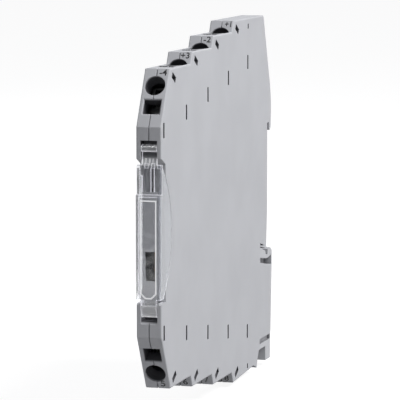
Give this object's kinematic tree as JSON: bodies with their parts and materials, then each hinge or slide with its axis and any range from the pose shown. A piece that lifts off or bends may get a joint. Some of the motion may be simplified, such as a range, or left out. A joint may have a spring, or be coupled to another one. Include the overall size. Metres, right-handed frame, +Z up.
{
  "type": "temperature transmitter",
  "caption": "Slim rail-mounted temperature transmitter with stepped spring-clamp terminals, a clear hinged front cover and a sprung foot latch.",
  "frame": {"origin": "on the rail seat face, half-way across the width and half-way up the case, which is also the middle of the rail", "axes": "+Y out of the back of the case, into the rail; +Z up; +X to the right seen from the front, towards the side with the windows"},
  "size_m": [0.0062, 0.103, 0.093],
  "materials": {
    "case_plastic": "fine spark-eroded texture, light grey polyamide",
    "clear_plastic": "clear moulded polycarbonate",
    "latch_plastic": "fine spark-eroded texture, light grey polyamide",
    "spring_steel": "bright spring steel strip",
    "tinned_copper": "tin-plated copper",
    "board_laminate": "green solder mask on glass-fibre laminate",
    "socket_plastic": "black moulded plastic",
    "contact_metal": "gold flash over brass",
    "ferrite": "dark sintered ferrite",
    "winding_tape": "amber film tape over the winding",
    "chip_resin": "black moulded resin",
    "capacitor_resin": "ochre moulded resin"
  },
  "bodies": {
    "housing": {"housing_shell_left": "case_plastic", "housing_shell_right": "case_plastic", "latch_spring": "spring_steel", "circuit_board": "board_laminate", "setup_socket": "socket_plastic", "socket_contacts": "contact_metal", "transformer_core": "ferrite", "transformer_winding": "winding_tape", "controller_chip": "chip_resin", "coupler_1": "chip_resin", "coupler_2": "chip_resin", "capacitor_1": "capacitor_resin", "capacitor_2": "capacitor_resin", "inductor": "ferrite", "contact_bar_1": "tinned_copper", "contact_bar_2": "tinned_copper", "contact_bar_3": "tinned_copper", "contact_bar_4": "tinned_copper", "contact_bar_5": "tinned_copper", "contact_bar_6": "tinned_copper", "contact_bar_7": "tinned_copper", "contact_bar_8": "tinned_copper", "clamp_spring_1": "spring_steel", "clamp_spring_2": "spring_steel", "clamp_spring_3": "spring_steel", "clamp_spring_4": "spring_steel", "clamp_spring_5": "spring_steel", "clamp_spring_6": "spring_steel", "clamp_spring_7": "spring_steel", "clamp_spring_8": "spring_steel"},
    "front_cover": {"front_cover": "clear_plastic"},
    "foot_latch": {"foot_latch": "latch_plastic"}
  },
  "joints": [
    {"name": "cover_hinge", "type": "hinge", "parent": "housing", "child": "front_cover", "pos_m": [0, -0.09535, -0.01857], "axis": [1, 0, 0], "range_deg": [0, 100]},
    {"name": "latch_slide", "type": "slide", "parent": "housing", "child": "foot_latch", "axis": [0, 0, -1], "range_m": [0, 0.0012], "stiffness_N_per_m": 1500, "springref_m": -0.001, "deforming": ["latch_spring"]}
  ]
}
